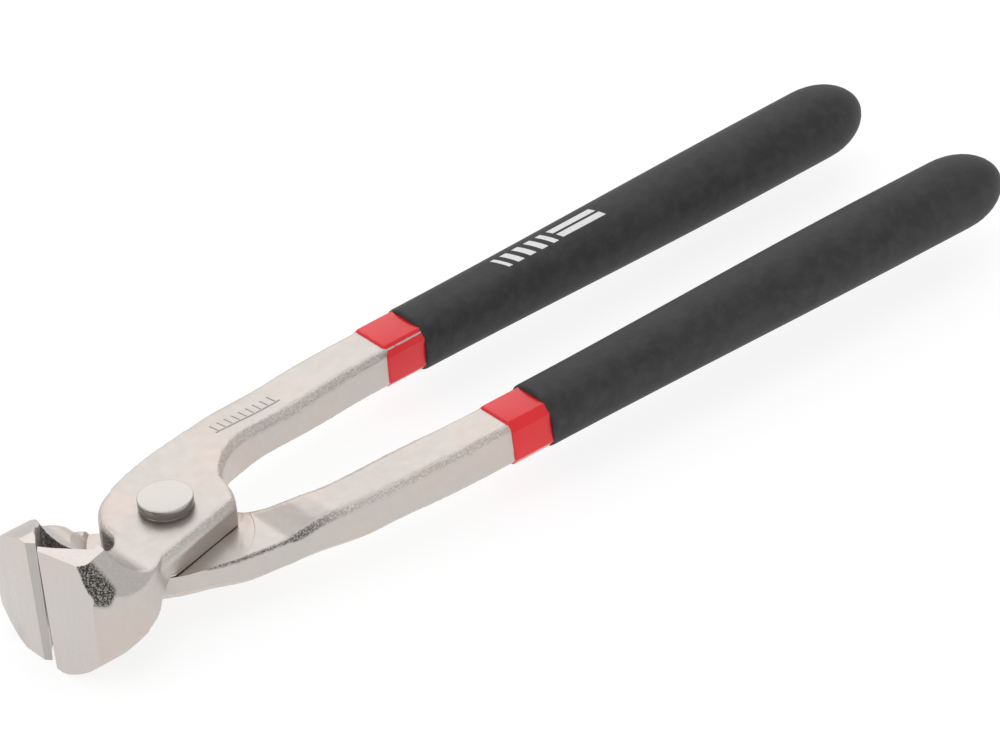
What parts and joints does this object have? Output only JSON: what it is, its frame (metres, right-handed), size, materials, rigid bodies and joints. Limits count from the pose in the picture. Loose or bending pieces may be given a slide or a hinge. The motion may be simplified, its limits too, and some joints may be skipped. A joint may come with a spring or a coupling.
{
  "type": "end-cutting pincers",
  "caption": "Long-handled end-cutting pincers with crossed forged levers on one rivet and double-dipped handle grips",
  "frame": {"origin": "middle of the footprint, on the plane of the lower edges of the jaws", "axes": "+X from the jaws towards the handle ends, +Y across the handles, +Z along the rivet, up through its round head"},
  "size_m": [0.25, 0.065, 0.03],
  "materials": {
    "forged_steel": "satin nickel plate over forged and ground steel",
    "rivet_steel": "satin turned head",
    "red_coat": "glossy dipped plastic",
    "black_grip": "matte dipped plastic with a fine grain"
  },
  "bodies": {
    "upper": {"upper_half": "forged_steel", "pivot_rivet": "rivet_steel", "upper_coat": "red_coat", "upper_grip": "black_grip"},
    "lower": {"lower_half": "forged_steel", "lower_coat": "red_coat", "lower_grip": "black_grip"}
  },
  "joints": [
    {"name": "pivot", "type": "hinge", "parent": "lower", "child": "upper", "pos_m": [-0.0906, 0, 0.015], "axis": [0, 0, 1], "range_deg": [0, 38]}
  ]
}
